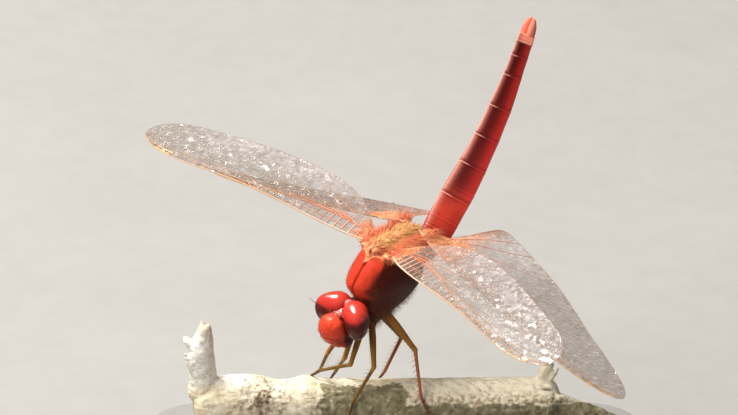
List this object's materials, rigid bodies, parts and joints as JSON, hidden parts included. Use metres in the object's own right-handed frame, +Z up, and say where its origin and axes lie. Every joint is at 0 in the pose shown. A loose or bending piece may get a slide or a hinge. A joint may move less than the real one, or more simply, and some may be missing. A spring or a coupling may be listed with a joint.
{
  "type": "dragonfly display model",
  "caption": "Life-size still model of a scarlet dragonfly with its abdomen raised, gripping a cut length of dead branch on a plain display stand.",
  "frame": {"origin": "centre of the underside of the stand's base", "axes": "+Z up, away from the surface the stand rests on; the head points towards -Y and the insect's left wings towards +X"},
  "size_m": [0.0717, 0.0644, 0.0568],
  "materials": {
    "scarlet": "satin scarlet cuticle",
    "eye_red": "gloss, deep red compound eye",
    "leg_brown": "satin red-brown",
    "wing_clear": "clear membrane with net veins",
    "bark": "bleached, lichened dead branch",
    "stand_grey": "satin grey",
    "stand_steel": "brushed"
  },
  "bodies": {
    "root": {"head": "scarlet", "face": "scarlet", "mouthparts": "scarlet", "prothorax": "scarlet", "thorax": "scarlet", "abdomen_1": "scarlet", "abdomen_2": "scarlet", "abdomen_3": "scarlet", "abdomen_4": "scarlet", "abdomen_5": "scarlet", "abdomen_6": "scarlet", "abdomen_7": "scarlet", "abdomen_8": "scarlet", "abdomen_9": "scarlet", "abdomen_10": "scarlet", "cercus_left": "scarlet", "cercus_right": "scarlet", "epiproct": "scarlet", "eye_left": "eye_red", "eye_right": "eye_red", "femur_fore_left": "leg_brown", "tibia_fore_left": "leg_brown", "tarsus_fore_left": "leg_brown", "femur_fore_right": "leg_brown", "tibia_fore_right": "leg_brown", "tarsus_fore_right": "leg_brown", "femur_mid_left": "leg_brown", "tibia_mid_left": "leg_brown", "tarsus_mid_left": "leg_brown", "femur_mid_right": "leg_brown", "tibia_mid_right": "leg_brown", "tarsus_mid_right": "leg_brown", "femur_hind_left": "leg_brown", "tibia_hind_left": "leg_brown", "tarsus_hind_left": "leg_brown", "femur_hind_right": "leg_brown", "tibia_hind_right": "leg_brown", "tarsus_hind_right": "leg_brown", "antenna_left": "leg_brown", "antenna_right": "leg_brown", "wing_fore_left": "wing_clear", "wing_fore_right": "wing_clear", "wing_hind_left": "wing_clear", "wing_hind_right": "wing_clear", "perch_branch": "bark", "perch_stub": "bark", "perch_spur": "bark", "perch_twig": "bark", "perch_tail": "bark", "stand_base": "stand_grey", "stand_rod_a": "stand_steel", "stand_rod_b": "stand_steel"}
  },
  "joints": []
}
